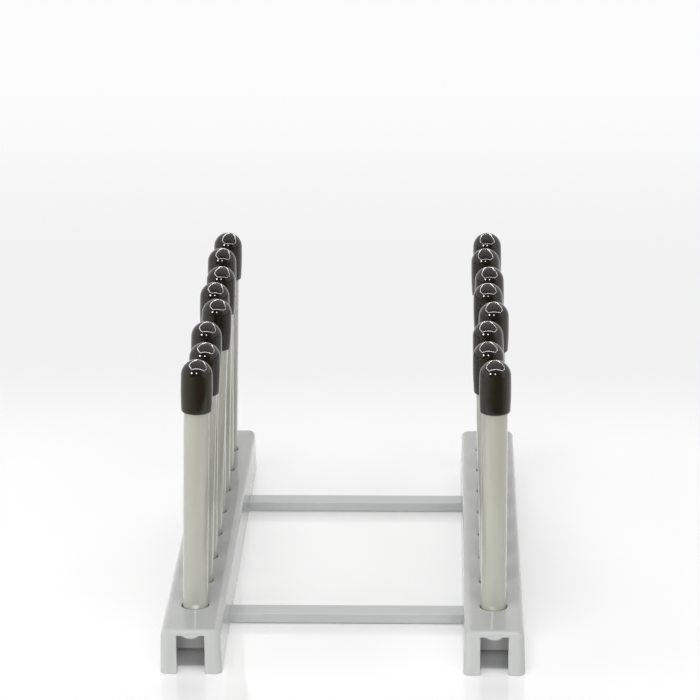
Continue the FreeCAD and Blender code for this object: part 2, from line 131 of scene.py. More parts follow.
# Floor: its finish, and places and tones of its masks
FLOOR_SIDES, FLOOR_RADIUS, FLOOR_DROP = 96, 6.0, 0.00005
FLOOR_WHITE, FLOOR_ROUGHNESS, FLOOR_SPECULAR = (0.86, 0.86, 0.86, 1), 0.06, 0.7
# Under the rails the floor's lift drops to LIFT_UNDER: painted shade that keeps the floor there dark.
UNDER_SIDE_FADE, UNDER_END_FADE = (9.5 * MM, 8.0 * MM), (94.5 * MM, 92.5 * MM)
UNDER_SLANT = 0.01
LIFT_FADE, LIFTS, LIFT_UNDER = (0.05, 0.11), (0.225, 0.26), 0.03
FAR_FADE, FAR_BACK_FADE = (0.2, 0.5), (0.09, 0.24)
FAR_TONE_FADE, FAR_TONES = (0.34, 0.76), (0.885, 0.97)
ROUND_FADE, ROUND_BACK_FADE = (0.2, 0.28), (-0.08, 0.08)
FLOOR_TONES = (
    (0.0, (1.0, 1.0, 0.95)), (0.12, (0.8, 0.82, 0.66)), (0.3, (0.5, 0.5, 0.38)),
    (0.55, (0.22, 0.17, 0.13)), (0.82, (0.22, 0.2, 0.15)), (0.94, (0.62, 0.62, 0.5)),
    (1.0, (1.0, 1.0, 0.95)))

# World as gloss sees it: dim in front, white behind, lighter at the sides
WORLD_BACK, WORLD_TONES = (-0.75, -0.1), (0.15, 1.0)
WORLD_SIDE_FADE, WORLD_SIDE = (0.5, 0.95), 0.5

# Soft panels: name, bearing and rise in degrees, distance, width, height, setting and share of it
PANELS = (
    ("panel_high", -18, 62, 1.3, 0.5, 0.5, "high_power", 1.0),
    ("panel_right", 30, 43, 1.35, 0.8, 0.7, "right_power", 1.0),
    ("panel_low", 0, 7, 1.6, 0.6, 0.25, "low_power", 1.0),
    ("panel_side_left", -78, 9, 1.4, 0.9, 0.3, "side_power", 1.0),
    ("panel_side_right", 70, 9, 1.4, 0.9, 0.3, "side_power", 0.2),
    ("panel_back", 180, 35, 1.4, 1.2, 0.5, "back_power", 1.0),
)
LIP_RISE, LIP_DISTANCE, LIP_WIDTH, LIP_HEIGHT = 72, 1.2, 0.9, 0.35
RING_CORNERS = (
    (-0.2, -0.2), (0.32, -0.18), (0.38, 0.02), (0.16, 0.22),
    (0.1, 0.7), (-0.05, 0.7), (-0.12, 0.25), (-0.25, 0.03))
STRIP_WIDTH = 0.016
GLINTS = (("glint_front", (0.03, -0.95, 0.58), 0.14), ("glint_left", (-0.6, -0.82, 0.56), 0.21))
RING_RECEIVERS = "ring_receivers"
LIP_RECEIVERS = "lip_receivers"

SENSOR_WIDTH, CLIP_START, CLIP_END = 36.0, 0.01, 50.0


# Sizes and colours that a user would change


class StandSizes(bpy.types.PropertyGroup):
    """Sizes of the pieces that are modelled here."""

    cap_bulge: FloatProperty(
        name="Cap bulge", description="How far the soft cap swells at its middle",
        default=0.1 * MM, min=0, max=MM, unit="LENGTH", precision=5)
    cap_taper: FloatProperty(
        name="Cap taper", description="How far the cap draws in towards its foot",
        default=0.12 * MM, min=0, max=0.2 * MM, unit="LENGTH", precision=5)
    cap_lip: FloatProperty(
        name="Cap lip", description="Round of the cap's foot",
        default=0.62 * MM, min=0.1 * MM, max=0.65 * MM, unit="LENGTH", precision=5)
    cap_sides: IntProperty(
        name="Cap sides", description="Faces round a cap", default=64, min=16, max=128)
    recess_width: FloatProperty(
        name="Recess", description="Cross recess in a screw's head, corner to corner",
        default=3.0 * MM, min=MM, max=4 * MM, unit="LENGTH", precision=5)
    recess_slot: FloatProperty(
        name="Recess arm", description="Width of one arm of the cross recess",
        default=0.75 * MM, min=0.3 * MM, max=1.5 * MM, unit="LENGTH", precision=5)
    recess_depth: FloatProperty(
        name="Recess depth", description="Depth of the cross recess",
        default=1.1 * MM, min=0.3 * MM, max=2 * MM, unit="LENGTH", precision=5)


class StandColours(bpy.types.PropertyGroup):
    """Base colours of the finishes."""

    rail: FloatVectorProperty(
        name="Rails", description="Moulded grey plastic",
        subtype="COLOR", size=3, min=0, max=1, default=(0.56, 0.57, 0.56))
    bar: FloatVectorProperty(
        name="Crossbars", description="Cooler grey plastic strip",
        subtype="COLOR", size=3, min=0, max=1, default=(0.575, 0.59, 0.59))
    rod: FloatVectorProperty(
        name="Rods", description="Pale greenish grey plastic",
        subtype="COLOR", size=3, min=0, max=1, default=(0.45, 0.452, 0.388))
    cap: FloatVectorProperty(
        name="Caps", description="Black vinyl",
        subtype="COLOR", size=3, min=0, max=1, default=(0.011, 0.0085, 0.004))
    steel: FloatVectorProperty(
        name="Screws", description="Zinc-plated steel",
        subtype="COLOR", size=3, min=0, max=1, default=(0.62, 0.62, 0.6))


class StudioSettings(bpy.types.PropertyGroup):
    """Camera, floor and lamps."""

    camera_place: FloatVectorProperty(
        name="Camera place", description="Where the camera stands",
        subtype="TRANSLATION", unit="LENGTH", size=3, default=(0.03286, -1.04876, 0.4118))
    camera_tilt: FloatProperty(
        name="Camera tilt", description="How far the camera looks down",
        subtype="ANGLE", default=math.radians(17.63))
    camera_turn: FloatProperty(
        name="Camera turn", description="How far the camera looks to the left",
        subtype="ANGLE", default=math.radians(1.79))
    camera_roll: FloatProperty(
        name="Camera roll", description="How far the camera leans to the right",
        subtype="ANGLE", default=math.radians(0.39))
    lens: FloatProperty(
        name="Lens", description="Focal length on a 36 mm sensor, in millimetres",
        default=164.0, min=20, max=400)
    ring_height: FloatProperty(
        name="Ring height", description="Strip lamps above the floor",
        default=0.32, min=0.2, max=1, unit="LENGTH")
    ring_glow: FloatProperty(
        name="Ring glow", description="Radiance of the strip lamps, seen only in gloss",
        default=30.0, min=0, max=500)
    glint_glow: FloatProperty(
        name="Glint glow", description="Radiance of the small round lamps, seen only in gloss",
        default=40.0, min=0, max=500)
    lip_glow: FloatProperty(
        name="Lip glow", description="Radiance of the panel that the rails' front edges mirror",
        default=2.5, min=0, max=100)
    high_power: FloatProperty(
        name="High panel", description="Watts of the soft panel high in front on the left",
        default=5.5, min=0, max=200, unit="POWER")
    right_power: FloatProperty(
        name="Right panel", description="Watts of the soft panel in front on the right",
        default=4.1, min=0, max=200, unit="POWER")
    low_power: FloatProperty(
        name="Low panel", description="Watts of the wide low panel in front",
        default=7.6, min=0, max=200, unit="POWER")
    side_power: FloatProperty(
        name="Side panels", description="Watts of the low left panel; the right one has a fifth of it",
        default=7.2, min=0, max=200, unit="POWER")
    back_power: FloatProperty(
        name="Back panel", description="Watts of the wide panel behind",
        default=7.0, min=0, max=200, unit="POWER")
    world_strength: FloatProperty(
        name="World strength", description="Even light from all round",
        default=0.1, min=0, max=2)


# Small helpers


def deselect_all():
    if bpy.context.mode != "OBJECT":
        bpy.ops.object.mode_set(mode="OBJECT")
    for item in bpy.context.view_layer.objects:
        item.select_set(False)


def activate(item):
    deselect_all()
    item.select_set(True)
    bpy.context.view_layer.objects.active = item


def select_faces(test):
    """In edit mode, select only the faces whose centre and normal pass the test."""
    edited = bmesh.from_edit_mesh(bpy.context.edit_object.data)
    for face in edited.faces:
        face.select_set(False)
    for edge in edited.edges:
        edge.select_set(False)
    for vertex in edited.verts:
        vertex.select_set(False)
    for face in edited.faces:
        if test(face.calc_center_median(), face.normal):
            face.select_set(True)
    edited.select_flush_mode()
    bmesh.update_edit_mesh(bpy.context.edit_object.data)


def select_ring(height, near=1e-6):
    """In edit mode, select only the vertices and edges at one height."""
    edited = bmesh.from_edit_mesh(bpy.context.edit_object.data)
    for face in edited.faces:
        face.select_set(False)
    for edge in edited.edges:
        edge.select_set(False)
    for vertex in edited.verts:
        vertex.select_set(abs(vertex.co.z - height) < near)
    for edge in edited.edges:
        edge.select_set(all(vertex.select for vertex in edge.verts))
    bmesh.update_edit_mesh(bpy.context.edit_object.data)


def extrude_ring(rise, scale):
    """In edit mode, extrude the selected ring upwards and scale it about the upright axis."""
    bpy.ops.mesh.extrude_region_move(TRANSFORM_OT_translate={"value": (0, 0, rise)})
    bpy.ops.transform.resize(value=(scale, scale, 1), center_override=(0, 0, 0))


def rod_axis(name):
    """Foot and head of a rod's centre line, read from the frame."""
    points = [vertex.co for vertex in NODES[name].data.vertices]
    middle = sum((point.z for point in points), 0.0) / len(points)
    low = [point for point in points if point.z < middle]
    high = [point for point in points if point.z >= middle]
    foot = sum(low, Vector()) / len(low)
    head = sum(high, Vector()) / len(high)
    return foot, head


def put_material(item, material):
    item.data.materials.clear()
    item.data.materials.append(material)


def give_finish(name, material):
    """Put a finish in every material slot of a node of the frame."""
    for slot in NODES[name].material_slots:
        slot.material = material


# Shader node groups


def new_group(name, inputs, outputs):
    group = bpy.data.node_groups.new(name, "ShaderNodeTree")
    for label, kind, default in inputs:
        socket = group.interface.new_socket(label, in_out="INPUT", socket_type=kind)
        socket.default_value = default
    for label, kind in outputs:
        group.interface.new_socket(label, in_out="OUTPUT", socket_type=kind)
    return group, group.nodes.new("NodeGroupInput"), group.nodes.new("NodeGroupOutput")


def add_node(tree, kind, values=(), **settings):
    """Add a node, set its properties, and fill its inputs by number or name with values or links."""
    node = tree.nodes.new(kind)
    for key, value in settings.items():
        setattr(node, key, value)
    for key, value in dict(values).items():
        if isinstance(value, bpy.types.NodeSocket):
            tree.links.new(value, node.inputs[key])
        else:
            node.inputs[key].default_value = value
    return node


def maths(tree, operation, first, second=0.5, clamp=False):
    node = add_node(tree, "ShaderNodeMath", {0: first, 1: second}, operation=operation, use_clamp=clamp)
    return node.outputs[0]


def fade(tree, value, start, end):
    """Smooth step from 0 at one value to 1 at the other."""
    return add_node(tree, "ShaderNodeMapRange", {
        "Value": value, "From Min": start, "From Max": end}, interpolation_type="SMOOTHSTEP").outputs[0]


def spread(tree, value, start, end, low, high):
    """Straight slope from the low result at the start to the high one at the end."""
    return add_node(tree, "ShaderNodeMapRange", {
        "Value": value, "From Min": start, "From Max": end, "To Min": low, "To Max": high}).outputs[0]


def object_place(tree):
    """Object coordinates, whole and split."""
    place = add_node(tree, "ShaderNodeTexCoord").outputs["Object"]
    return place, add_node(tree, "ShaderNodeSeparateXYZ", {0: place}).outputs


def noise(tree, place, scale, detail):
    return add_node(tree, "ShaderNodeTexNoise", {
        "Vector": place, "Scale": scale, "Detail": detail}).outputs["Fac"]


def scaled(tree, colour, shade):
    """A colour times a number."""
    tint = add_node(tree, "ShaderNodeVectorMath", {0: colour}, operation="SCALE")
    tree.links.new(shade, tint.inputs["Scale"])
    return tint.outputs[0]


def set_ramp(node, stops):
    """Give a colour ramp its stops: place and colour."""
    ramp = node.color_ramp
    while len(ramp.elements) < len(stops):
        ramp.elements.new(0.5)
    for element, (place, tone) in zip(ramp.elements, stops):
        element.position = place
        element.color = (*tone, 1)


def moulded_surface_group():
    """Colour drift, fine grain and soft shrinkage of a moulded plastic surface."""
    group, source, result = new_group(
        "Moulded surface",
        [("Colour", "NodeSocketColor", (0.5, 0.5, 0.5, 1)), ("Drift", "NodeSocketFloat", 0.04),
         ("Roughness", "NodeSocketFloat", 0.4), ("Grain", "NodeSocketFloat", 0.5)],
        [("Colour", "NodeSocketColor"), ("Roughness", "NodeSocketFloat"), ("Height", "NodeSocketFloat")])
    given = source.outputs
    place = add_node(group, "ShaderNodeTexCoord").outputs["Object"]
    cloud = noise(group, place, CLOUD_SCALE, 4.0)
    grain = noise(group, place, GRAIN_SCALE, 2.0)
    sink = noise(group, place, SINK_SCALE, 1.0)
    centred = maths(group, "SUBTRACT", cloud, 0.5)
    shade = maths(group, "ADD", maths(group, "MULTIPLY", centred, given["Drift"]), 1.0)
    swing = maths(group, "MULTIPLY", centred, ROUGHNESS_SWING)
    rough = maths(group, "ADD", given["Roughness"], swing, clamp=True)
    fine = maths(group, "MULTIPLY", grain, given["Grain"])
    height = maths(group, "ADD", fine, maths(group, "MULTIPLY", sink, SINK_WEIGHT))
    group.links.new(scaled(group, given["Colour"], shade), result.inputs["Colour"])
    group.links.new(rough, result.inputs["Roughness"])
    group.links.new(height, result.inputs["Height"])


def drawn_lines_group():
    """Fine lines along one axis, as on drawn or extruded plastic."""
    group, source, result = new_group(
        "Drawn lines",
        [("Stretch", "NodeSocketVector", (1.0, 1.0, 0.03)), ("Scale", "NodeSocketFloat", 900.0)],
        [("Lines", "NodeSocketFloat")])
    given = source.outputs
    place = add_node(group, "ShaderNodeTexCoord").outputs["Object"]
    stretched = add_node(group, "ShaderNodeVectorMath", {
        0: place, 1: given["Stretch"]}, operation="MULTIPLY").outputs[0]
    group.links.new(noise(group, stretched, given["Scale"], 3.0), result.inputs["Lines"])


def top_light_group():
    """Mask of a crossbar's top face, for painted shading that makes the top lighter and the sides and edges
    below it darker.
    """
    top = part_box(BARS[0])[1].z
    group, _, result = new_group("Painted top light", [], [("Top", "NodeSocketFloat")])
    _, axes = object_place(group)
    start, end = (top + offset for offset in TOP_FACE_FADE)
    group.links.new(fade(group, axes["Z"], start, end), result.inputs["Top"])


def reflection_line_group():
    """The faint pale line that runs from each end socket of a rail to the lip: a painted reflection of the front
    rod's highlight in the glossy top.
    """
    group, source, result = new_group(
        "Painted reflection line",
        [("Across", "NodeSocketFloat", RAIL_PLACE - 0.4 * MM), ("Start", "NodeSocketFloat", 81.6 * MM),
         ("End", "NodeSocketFloat", 98.2 * MM), ("Width", "NodeSocketFloat", 0.5 * MM)],
        [("Line", "NodeSocketFloat")])
    given = source.outputs
    _, axes = object_place(group)
    slant = spread(group, axes["X"], -RAIL_PLACE, RAIL_PLACE, *LINE_SLANTS)
    along = maths(group, "ABSOLUTE", axes["Y"])
    past = maths(group, "SUBTRACT", along, given["Start"])
    aside = maths(group, "ADD", maths(group, "ABSOLUTE", axes["X"]), maths(group, "MULTIPLY", past, slant))
    apart = maths(group, "ABSOLUTE", maths(group, "SUBTRACT", aside, given["Across"]))
    near = fade(group, apart, given["Width"], 0.0)
    begun = fade(group, past, 0.0, LINE_BEGIN_FADE)
    left = fade(group, maths(group, "SUBTRACT", given["End"], along), 0.0, LINE_END_FADE)
    high = fade(group, axes["Z"], *LINE_HEIGHT_FADE)
    line = near
    for mask in (begun, left, high):
        line = maths(group, "MULTIPLY", line, mask)
    group.links.new(line, result.inputs["Line"])


def foot_glint_group():
    """A small painted glint: a pale spot where a front rod meets the rim of its socket, standing in for a
    highlight there.
    """
    group, source, result = new_group(
        "Painted foot glint",
        [("Place", "NodeSocketVector", (48.4 * MM, -81.2 * MM, 15.6 * MM)),
         ("Size", "NodeSocketFloat", 1.25 * MM)],
        [("Mark", "NodeSocketFloat")])
    given = source.outputs
    _, axes = object_place(group)
    folded = add_node(group, "ShaderNodeCombineXYZ", {
        0: maths(group, "ABSOLUTE", axes["X"]), 1: axes["Y"], 2: axes["Z"]}).outputs[0]
    offset = add_node(group, "ShaderNodeVectorMath", {
        0: folded, 1: given["Place"]}, operation="SUBTRACT").outputs[0]
    squeezed = add_node(group, "ShaderNodeVectorMath", {
        0: offset, 1: GLINT_SQUEEZE}, operation="MULTIPLY").outputs[0]
    apart = add_node(group, "ShaderNodeVectorMath", {0: squeezed}, operation="LENGTH").outputs["Value"]
    share = spread(group, axes["X"], -RAIL_PLACE, RAIL_PLACE, *GLINT_STRENGTHS)
    spot = fade(group, apart, given["Size"], 0.0)
    group.links.new(maths(group, "MULTIPLY", spot, share), result.inputs["Mark"])


def floor_tone_group():
    """Masks by place on the floor: under a rail, where the glow is held down as painted shade, far away, round
    the stand, and the tones shown there.
    """
    group, _, result = new_group(
        "Floor tone", [],
        [("Under", "NodeSocketFloat"), ("Lift", "NodeSocketFloat"), ("Far", "NodeSocketFloat"),
         ("Far tone", "NodeSocketFloat"), ("Round", "NodeSocketFloat"), ("Round tone", "NodeSocketColor")])
    place, axes = object_place(group)
    across, along = axes["X"], axes["Y"]
    reach = add_node(group, "ShaderNodeVectorMath", {0: place}, operation="LENGTH").outputs["Value"]
    aside = maths(group, "ABSOLUTE", maths(group, "SUBTRACT", maths(group, "ABSOLUTE", across), RAIL_PLACE))
    slant = maths(group, "SUBTRACT", maths(group, "ABSOLUTE", along),
                  maths(group, "MULTIPLY", across, UNDER_SLANT))
    bearing = maths(group, "DIVIDE", across, maths(group, "MAXIMUM", reach, 0.001))
    ramp = add_node(group, "ShaderNodeValToRGB", {
        "Fac": maths(group, "ADD", maths(group, "MULTIPLY", bearing, 0.5), 0.5)})
    set_ramp(ramp, FLOOR_TONES)
    mirror = add_node(group, "ShaderNodeMix", {
        "Factor": fade(group, along, *ROUND_BACK_FADE), "A": ramp.outputs["Color"], "B": (1, 1, 1, 1)},
        data_type="RGBA").outputs["Result"]
    for label, value in (
        ("Under", maths(group, "MULTIPLY", fade(group, aside, *UNDER_SIDE_FADE),
                        fade(group, slant, *UNDER_END_FADE))),
        ("Lift", spread(group, fade(group, reach, *LIFT_FADE), 0.0, 1.0, *LIFTS)),
        ("Far", maths(group, "MAXIMUM", fade(group, reach, *FAR_FADE), fade(group, along, *FAR_BACK_FADE))),
        ("Far tone", spread(group, fade(group, along, *FAR_TONE_FADE), 0.0, 1.0, *FAR_TONES)),
        ("Round", fade(group, reach, *ROUND_FADE)),
        ("Round tone", mirror),
    ):
        group.links.new(value, result.inputs[label])


def new_material(name):
    material = bpy.data.materials.new(name)
    material.use_nodes = True
    tree = material.node_tree
    tree.nodes.clear()
    shader = add_node(tree, "ShaderNodeBsdfPrincipled")
    output = add_node(tree, "ShaderNodeOutputMaterial")
    tree.links.new(shader.outputs[0], output.inputs["Surface"])
    return material, tree, shader


def use_group(tree, name, values):
    node = tree.nodes.new("ShaderNodeGroup")
    node.node_tree = bpy.data.node_groups[name]
    for key, value in values.items():
        if isinstance(value, bpy.types.NodeSocket):
            tree.links.new(value, node.inputs[key])
        else:
            node.inputs[key].default_value = value
    return node


def tinted(tree, colour, pattern, amount):
    """A colour made lighter and darker by a pattern round its middle value."""
    centred = maths(tree, "SUBTRACT", pattern, 0.5)
    return scaled(tree, colour, maths(tree, "ADD", maths(tree, "MULTIPLY", centred, amount), 1.0))


def add_bump(tree, shader, height, depth):
    bump = add_node(tree, "ShaderNodeBump", {"Height": height, "Distance": depth, "Strength": 1.0})
    tree.links.new(bump.outputs[0], shader.inputs["Normal"])


def moulded_material(name, colour, values):
    """A material with the moulded surface's roughness; its base colour and bump are still to be linked."""
    material, tree, shader = new_material(name)
    surface = use_group(tree, "Moulded surface", {"Colour": (*colour, 1), **values}).outputs
    tree.links.new(surface["Roughness"], shader.inputs["Roughness"])
    return material, tree, shader, surface


def paint_highlight(tree, shader, colour, mask):
    """Link a base colour that turns pale where the mask says: a painted highlight."""
    marked = add_node(tree, "ShaderNodeMix", {
        "Factor": mask, "A": colour, "B": HIGHLIGHT_PAINT}, data_type="RGBA").outputs["Result"]
    tree.links.new(marked, shader.inputs["Base Color"])


def rail_plastic(colours):
    material, tree, shader, surface = moulded_material(
        "rail_plastic_grey", colours.rail, {"Roughness": 0.13, "Drift": 0.05, "Grain": 0.06})
    flow = use_group(tree, "Drawn lines", {"Stretch": (1.0, 1.0, 0.08), "Scale": 420.0}).outputs["Lines"]
    # Pale line from each end socket to the lip: a painted reflection of the front rod's highlight in the glossy
    # top.
    line = use_group(tree, "Painted reflection line", {}).outputs["Line"]
    streaked = tinted(tree, surface["Colour"], flow, FLOW_TINT)
    paint_highlight(tree, shader, streaked, maths(tree, "MULTIPLY", line, REFLECTION_PALENESS))
    ridge = maths(tree, "MULTIPLY", line, LINE_RIDGE)
    add_bump(tree, shader, maths(tree, "ADD", surface["Height"], ridge), RAIL_BUMP)
    return material


def bar_plastic(colours):
    material, tree, shader, surface = moulded_material(
        "bar_plastic_grey", colours.bar, {"Roughness": 0.12, "Drift": 0.03, "Grain": 0.06})
    lines = use_group(tree, "Drawn lines", {"Stretch": (0.02, 1.0, 1.0), "Scale": 1400.0}).outputs["Lines"]
    # Painted shading: the crossbar's top face is made lighter and the sides and edges below it darker.
    top = use_group(tree, "Painted top light", {}).outputs["Top"]
    tree.links.new(tinted(tree, surface["Colour"], top, TOP_LIGHT_TINT), shader.inputs["Base Color"])
    add_bump(tree, shader, maths(tree, "ADD", surface["Height"], lines), BAR_BUMP)
    return material


def rod_plastic(colours):
    material, tree, shader, surface = moulded_material(
        "rod_plastic_pale", colours.rod, {"Roughness": 0.08, "Drift": 0.05, "Grain": 0.04})
    lines = use_group(tree, "Drawn lines", {"Stretch": (1.0, 1.0, 0.02), "Scale": 1100.0}).outputs["Lines"]
    bands = use_group(tree, "Drawn lines", {"Stretch": (1.0, 1.0, 0.01), "Scale": 450.0}).outputs["Lines"]
    # Pale spot at each front rod's foot: a painted glint.
    mark = use_group(tree, "Painted foot glint", {}).outputs["Mark"]
    paint_highlight(tree, shader, tinted(tree, surface["Colour"], bands, BAND_TINT), mark)
    shader.inputs["Coat Weight"].default_value = 1.0
    shader.inputs["Coat Roughness"].default_value = 0.03
    add_bump(tree, shader, maths(tree, "ADD", surface["Height"], lines), ROD_BUMP)
    return material


def cap_vinyl(colours):
    material, tree, shader, surface = moulded_material(
        "cap_vinyl_black", colours.cap, {"Roughness": 0.06, "Drift": 0.4, "Grain": 0.02})
    tree.links.new(surface["Colour"], shader.inputs["Base Color"])
    add_bump(tree, shader, surface["Height"], CAP_BUMP)
    return material


def screw_steel(colours):
    material, tree, shader, surface = moulded_material(
        "screw_steel_zinc", colours.steel, {"Roughness": 0.32, "Drift": 0.2})
    tree.links.new(surface["Colour"], shader.inputs["Base Color"])
    shader.inputs["Metallic"].default_value = 1.0
    add_bump(tree, shader, surface["Height"], SCREW_BUMP)
    return material


# Operators


class STAND_OT_finishes(bpy.types.Operator):
    """Build the node groups that the finishes share"""

    bl_idname = "stand.finishes"
    bl_label = "Build shared finishes"

    def execute(self, context):
        moulded_surface_group()
        drawn_lines_group()
        top_light_group()
        reflection_line_group()
        foot_glint_group()
        return {"FINISHED"}


class STAND_OT_rails(bpy.types.Operator):
    """Finish both moulded rails"""

    bl_idname = "stand.rails"
    bl_label = "Finish the rails"

    def execute(self, context):
        material = rail_plastic(context.scene.stand_colours)
        for name in RAILS:
            give_finish(name, material)
        return {"FINISHED"}


class STAND_OT_crossbars(bpy.types.Operator):
    """Finish both crossbars"""

    bl_idname = "stand.crossbars"
    bl_label = "Finish the crossbars"

    def execute(self, context):
        material = bar_plastic(context.scene.stand_colours)
        for name in BARS:
            give_finish(name, material)
        return {"FINISHED"}


class STAND_OT_rods(bpy.types.Operator):
    """Finish the upright rods"""

    bl_idname = "stand.rods"
    bl_label = "Finish the rods"

    def execute(self, context):
        material = rod_plastic(context.scene.stand_colours)
        for name in RODS:
            give_finish(name, material)
        return {"FINISHED"}


class STAND_OT_caps(bpy.types.Operator):
    """Model one vinyl cap and draw a copy over the top of every rod"""

    bl_idname = "stand.caps"
    bl_label = "Model the caps"

    def execute(self, context):
        pattern = model_cap(context.scene.stand_sizes)
        put_material(pattern, cap_vinyl(context.scene.stand_colours))
        for number, name in enumerate(CAPS):
            foot, axis = cap_place(name)
            lean = UPWARD.rotation_difference(axis).to_matrix().to_4x4()
            turned = Matrix.Rotation(CAP_TURN * number, 4, "Z")
            piece = copy_piece(pattern, "vinyl_" + name, Matrix.Translation(foot) @ lean @ turned)
            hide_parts(name)
            link_cap_lamps(piece)
        bpy.data.objects.remove(pattern)
        return {"FINISHED"}


def link_cap_lamps(piece):
    """Let the ring and the round lamps light a cap, and keep the lip panel off it."""
    bpy.data.collections[RING_RECEIVERS].objects.link(piece)
    hidden = bpy.data.collections[LIP_RECEIVERS]
    hidden.objects.link(piece)
    hidden.collection_objects[-1].light_linking.link_state = "EXCLUDE"


def cap_place(name):
    """Centre of a cap's foot and the direction of its axis, from its node and its rod's."""
    low, high = rod_axis(name.replace("_cap_", "_rod_"))
    axis = (high - low).normalized()
    rise = min((vertex.co - low).dot(axis) for vertex in NODES[name].data.vertices)
    return low + axis * rise, axis


def cap_outline(sizes):
    """Radius and height of the rings from the edge of the foot, over the swelling wall, to the crown."""
    lip, straight = sizes.cap_lip, CAP_LENGTH - CAP_RADIUS
    foot = CAP_RADIUS - sizes.cap_taper
    rings = []
    for step in range(LIP_STEPS + 1):
        turn = math.pi / 2 * step / LIP_STEPS
        rings.append((foot - lip + lip * math.sin(turn), lip - lip * math.cos(turn)))
    for step in range(1, WALL_STEPS + 1):
        share = step / WALL_STEPS
        swell = sizes.cap_bulge * math.sin(math.pi * share) - sizes.cap_taper * (1 - share) ** 2
        rings.append((CAP_RADIUS + swell, lip + (straight - lip) * share))
    for step in range(1, DOME_STEPS):
        turn = math.pi / 2 * step / DOME_STEPS
        rings.append((CAP_RADIUS * math.cos(turn), straight + CAP_RADIUS * math.sin(turn)))
    return rings


def model_cap(sizes):
    """A dipped cap, standing on its foot at the origin: outside, rounded lip, bore and ceiling."""
    rings = cap_outline(sizes)
    start = rings[0][0]
    deselect_all()
    bpy.ops.mesh.primitive_circle_add(vertices=sizes.cap_sides, radius=start, fill_type="NOTHING")
    bpy.ops.object.mode_set(mode="EDIT")
    select_ring(0)
    for (radius, height), (wider, higher) in zip(rings, rings[1:]):
        extrude_ring(higher - height, wider / radius)
    bpy.ops.mesh.extrude_region_move(TRANSFORM_OT_translate={"value": (0, 0, CAP_LENGTH - rings[-1][1])})
    bpy.ops.mesh.merge(type="CENTER")
    select_ring(0)
    edge = ROD_RADIUS + BORE_EDGE
    extrude_ring(0, edge / start)
    extrude_ring(BORE_EDGE, ROD_RADIUS / edge)
    extrude_ring(BORE_DEPTH - BORE_EDGE, 1)
    bpy.ops.mesh.edge_face_add()
    return finish_mesh("cap_pattern")


class STAND_OT_screws(bpy.types.Operator):
    """Model one countersunk screw with a cross recess and set four under the crossbars"""

    bl_idname = "stand.screws"
    bl_label = "Model the screws"

    def execute(self, context):
        sizes = context.scene.stand_sizes
        pattern = model_screw(sizes)
        put_material(pattern, screw_steel(context.scene.stand_colours))
        low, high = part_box(SCREWS)
        reach = Vector((HEAD_RADIUS, HEAD_RADIUS, 0))
        left_front, right_back = low + reach, high - reach
        for end, y in (("front", left_front.y), ("rear", right_back.y)):
            for side, x in (("left", left_front.x), ("right", right_back.x)):
                place = Matrix.Translation((x, y, low.z)) @ Matrix.Rotation(SCREW_TURN * (x + y), 4, "Z")
                piece = copy_piece(pattern, "screw_%s_%s" % (end, side), place)
                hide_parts(SCREWS)
        bpy.data.objects.remove(pattern)
        return {"FINISHED"}


def model_screw(sizes):
    """A countersunk screw, head down at the origin, with a tapered cross recess cut into its head."""
    deselect_all()
    bpy.ops.mesh.primitive_circle_add(
        vertices=SCREW_SIDES, radius=HEAD_RADIUS - HEAD_EDGE, fill_type="NGON")
    bpy.ops.object.mode_set(mode="EDIT")
    select_ring(0)
    extrude_ring(HEAD_EDGE, HEAD_RADIUS / (HEAD_RADIUS - HEAD_EDGE))
    extrude_ring(HEAD_RADIUS - SHANK_RADIUS - HEAD_EDGE, CORE_RADIUS / HEAD_RADIUS)
    for _ in range(SCREW_THREADS):
        extrude_ring(THREAD_STEP * THREAD_FLANK, SHANK_RADIUS / CORE_RADIUS)
        extrude_ring(THREAD_STEP * THREAD_CREST, 1)
        extrude_ring(THREAD_STEP * THREAD_FLANK, CORE_RADIUS / SHANK_RADIUS)
    bpy.ops.mesh.extrude_region_move(TRANSFORM_OT_translate={"value": (0, 0, SHANK_RADIUS)})
    bpy.ops.mesh.merge(type="CENTER")
    screw = finish_mesh("screw_pattern")
    for turn in (0, math.pi / 2):
        cut_recess_arm(screw, sizes, turn)
    return screw


def cut_recess_arm(screw, sizes, turn):
    """Cut one tapered slot of the cross recess, as wide as its setting where it meets the head's face."""
    wider = 2 / (1 + RECESS_TAPER)
    deselect_all()
    bpy.ops.mesh.primitive_cube_add(
        size=1, location=(0, 0, 0), rotation=(0, 0, turn),
        scale=(sizes.recess_width * wider, sizes.recess_slot * wider, 2 * sizes.recess_depth))
    cutter = bpy.context.object
    bpy.ops.object.mode_set(mode="EDIT")
    select_faces(lambda centre, normal: normal.z > 0.5)
    bpy.ops.transform.resize(
        value=(RECESS_TAPER, RECESS_TAPER, 1), center_override=(0, 0, 0), orient_type="GLOBAL")
    bpy.ops.object.mode_set(mode="OBJECT")
    activate(screw)
    cut = screw.modifiers.new("recess", "BOOLEAN")
    cut.object, cut.operation, cut.solver = cutter, "DIFFERENCE", "EXACT"
    bpy.ops.object.modifier_apply(modifier=cut.name)
    bpy.data.objects.remove(cutter)


def finish_mesh(name):
    """Leave edit mode with doubles merged, faces outwards and smooth shading up to the sharp edges."""
    bpy.ops.mesh.select_all(action="SELECT")
    bpy.ops.mesh.remove_doubles(threshold=MERGE_REACH)
    bpy.ops.mesh.normals_make_consistent(inside=False)
    bpy.ops.object.mode_set(mode="OBJECT")
    item = bpy.context.object
    item.name = name
    activate(item)
    bpy.ops.object.shade_smooth_by_angle(angle=SHARP_ANGLE)
    return item


